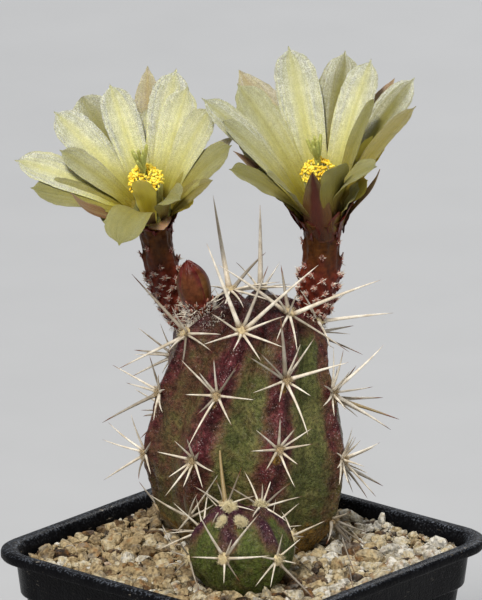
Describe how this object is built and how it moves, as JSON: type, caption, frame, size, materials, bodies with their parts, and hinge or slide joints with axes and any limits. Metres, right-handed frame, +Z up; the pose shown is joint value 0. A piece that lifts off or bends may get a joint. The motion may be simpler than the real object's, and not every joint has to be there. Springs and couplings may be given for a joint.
{
  "type": "potted hedgehog cactus",
  "caption": "Ribbed, long-spined hedgehog cactus with a small offset, a bud and pale yellow funnel flowers, rooted in mineral grit in a square black nursery pot.",
  "frame": {"origin": "middle of the pot's flat underside", "axes": "+Z up; X and Y along the pot's sides. The offset, the plant's front, points 49.5 degrees clockwise from -Y as seen from above"},
  "size_m": [0.0847, 0.0889, 0.1782],
  "materials": {
    "pot_plastic": "thin black injection-moulded plastic, dusty and scuffed at the rim",
    "mineral_grit": "loose beige, ochre, cream and grey chips",
    "purple_green_stem": "matt waxy skin, magenta-purple crests over olive green, with ivory spines",
    "green_stem": "matt waxy green skin with purple bands and ivory spines",
    "bud_scales": "satin crimson and olive scales over a woolly base",
    "tube_skin": "satin dark red-brown skin with pink woolly areoles",
    "tepals": "silky pale yellow with a silvery sheen and greenish midstripes",
    "stamens": "powdery golden yellow",
    "pistil": "matt velvety green"
  },
  "bodies": {
    "root": {"pot": "pot_plastic", "grit": "mineral_grit", "main_stem": "purple_green_stem", "offset_stem": "green_stem", "flower_bud": "bud_scales", "left_flower_tube": "tube_skin", "left_flower_tepals": "tepals", "left_flower_stamens": "stamens", "left_flower_pistil": "pistil", "right_flower_tube": "tube_skin", "right_flower_tepals": "tepals", "right_flower_stamens": "stamens", "right_flower_pistil": "pistil"}
  },
  "joints": []
}
